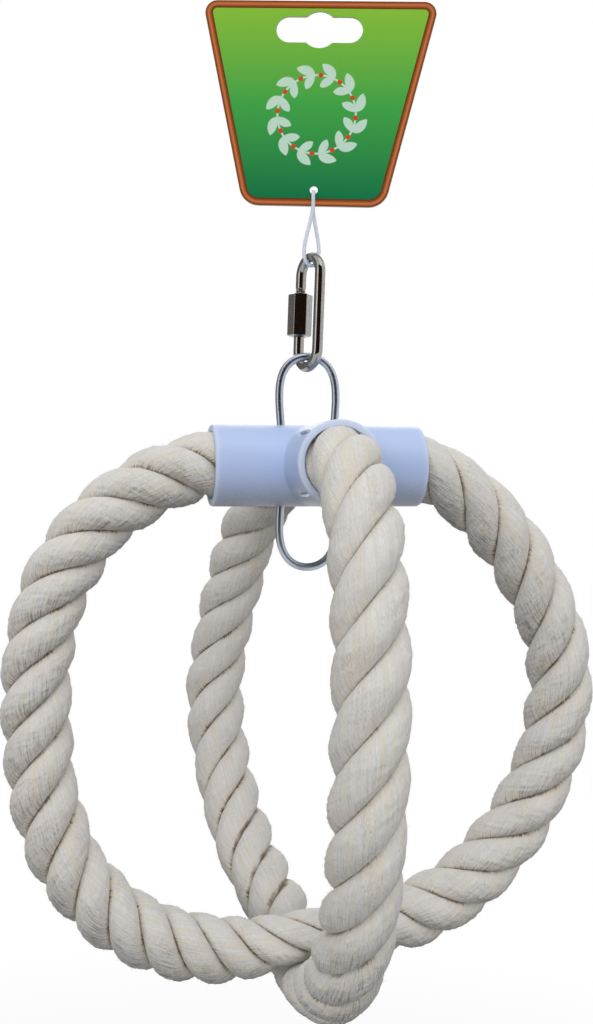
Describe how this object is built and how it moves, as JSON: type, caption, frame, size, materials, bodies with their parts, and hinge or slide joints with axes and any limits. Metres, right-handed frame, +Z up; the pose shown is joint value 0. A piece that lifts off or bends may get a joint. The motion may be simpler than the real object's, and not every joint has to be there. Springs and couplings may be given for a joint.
{
  "type": "bird rope ring",
  "caption": "Hanging bird perch of crossed cotton rope rings in a plastic pipe cross, hung by a wire eye, quick link and tag loop from a slotted header card.",
  "frame": {"origin": "where a display peg bears on the top of the header card's slot, at mid thickness", "axes": "+Z up; X along the side sockets of the pipe cross, which hangs 2 degrees askew; -Y along its front socket"},
  "size_m": [0.2233, 0.2079, 0.3685],
  "materials": {
    "printed_card": "satin print",
    "loop_nylon": "milky",
    "link_steel": "bright zinc",
    "galvanised_wire": "galvanised",
    "pipe_pvc": "moulded satin",
    "cotton_rope": "twisted cotton",
    "end_tape": "crepe",
    "staple_wire": "galvanised"
  },
  "bodies": {
    "card": {"header_card": "printed_card"},
    "loop": {"tag_loop": "loop_nylon"},
    "link": {"quick_link_body": "link_steel"},
    "nut": {"quick_link_nut": "link_steel"},
    "ring": {"hanger_wire": "galvanised_wire", "cross_connector": "pipe_pvc", "rope_ring_side": "cotton_rope", "rope_ring_front": "cotton_rope", "rope_end_tape_front": "end_tape", "rope_end_tape_right": "end_tape", "rope_end_tape_back": "end_tape", "rope_end_tape_left": "end_tape", "staple_front_upper": "staple_wire", "staple_front_lower": "staple_wire", "staple_right_upper": "staple_wire", "staple_right_lower": "staple_wire", "staple_back_upper": "staple_wire", "staple_back_lower": "staple_wire", "staple_left_upper": "staple_wire", "staple_left_lower": "staple_wire"}
  },
  "joints": [
    {"name": "loop_swing", "type": "hinge", "parent": "card", "child": "loop", "pos_m": [0, 0, -0.06645], "axis": [0.2756, 0.9613, 0], "range_deg": [-45, 45]},
    {"name": "link_swing", "type": "hinge", "parent": "loop", "child": "link", "pos_m": [0, 0, -0.09385], "axis": [0.9397, 0.342, 0], "range_deg": [-45, 45]},
    {"name": "ring_swing", "type": "hinge", "parent": "link", "child": "ring", "pos_m": [0, 0, -0.1313], "axis": [0.342, -0.9397, 0], "range_deg": [-60, 60]},
    {"name": "nut_travel", "type": "slide", "parent": "link", "child": "nut", "axis": [0, 0, 1], "range_m": [0, 0.005]}
  ]
}
